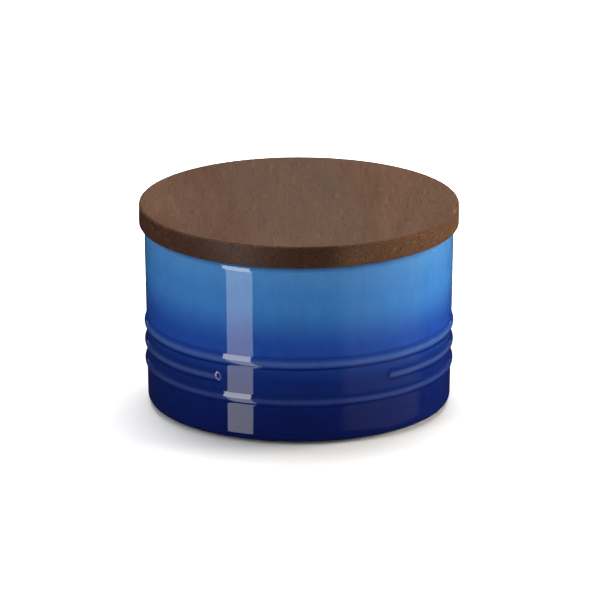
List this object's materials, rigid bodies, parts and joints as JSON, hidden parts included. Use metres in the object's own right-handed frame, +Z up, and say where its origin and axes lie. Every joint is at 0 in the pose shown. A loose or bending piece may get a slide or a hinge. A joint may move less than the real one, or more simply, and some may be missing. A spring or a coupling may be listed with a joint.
{
  "type": "storage jar",
  "caption": "Low round glazed stoneware storage jar with raised ribs round its foot and a flat turned wooden lid that lifts off, with a soft seal under it.",
  "frame": {"origin": "on the jar's axis, in the plane of the foot ring that it stands on", "axes": "+Z up along the jar's axis; -Y is the front, where the middle rib is left open; +X is to the right seen from the front"},
  "size_m": [0.124, 0.124, 0.0805],
  "materials": {
    "glazed_stoneware": "gloss blue glaze, darker towards the foot and in the hollows, bare clay on the foot ring",
    "oiled_wood": "satin, oiled dark brown, straight open grain",
    "soft_seal": "matt, milky silicone"
  },
  "bodies": {
    "jar": {"jar_body": "glazed_stoneware"},
    "seal": {"seal_ring": "soft_seal"},
    "lid": {"wooden_lid": "oiled_wood"}
  },
  "joints": [
    {"name": "lid_lift", "type": "slide", "parent": "jar", "child": "seal", "axis": [0, 0, 1], "range_m": [0, 0.06]},
    {"name": "lid_turn", "type": "hinge", "parent": "seal", "child": "lid", "pos_m": [0, 0, 0.0718], "axis": [0, 0, 1], "continuous": true}
  ]
}
